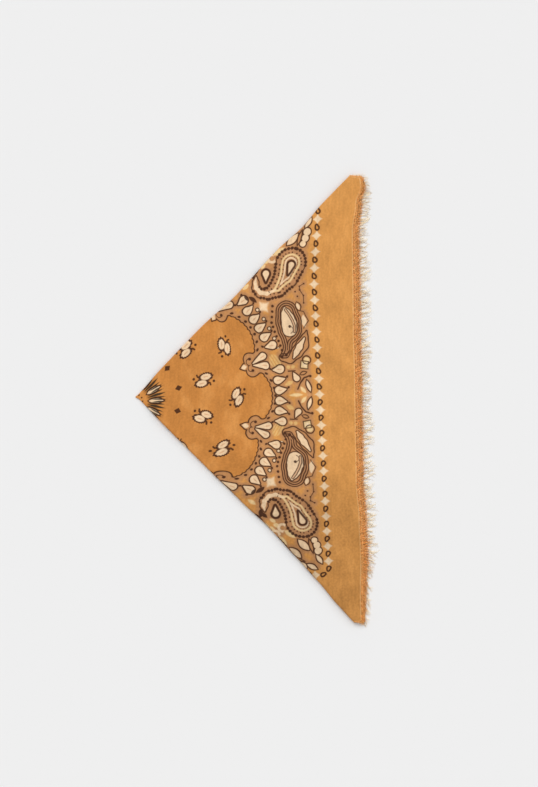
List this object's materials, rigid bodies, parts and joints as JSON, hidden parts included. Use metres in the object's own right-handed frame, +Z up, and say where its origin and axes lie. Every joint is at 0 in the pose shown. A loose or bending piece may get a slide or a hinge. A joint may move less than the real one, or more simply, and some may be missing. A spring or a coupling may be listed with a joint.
{
  "type": "neckerchief",
  "caption": "Printed cotton neckerchief with frayed edges, folded corner to corner into a flat triangle of stacked layers.",
  "frame": {"origin": "on the surface it lies on, under the middle of its bounding box", "axes": "+Z up, -X towards the folded tip, +X towards the fringed side, +Y along the fringed side"},
  "size_m": [0.3008, 0.5606, 0.0072],
  "materials": {
    "cloth": "matt printed cotton",
    "fringe": "loose cotton threads"
  },
  "bodies": {
    "root": {"cloth": "cloth", "fringe_top": "fringe", "fringe_second": "fringe", "fringe_third": "fringe", "fringe_bottom": "fringe"}
  },
  "joints": []
}
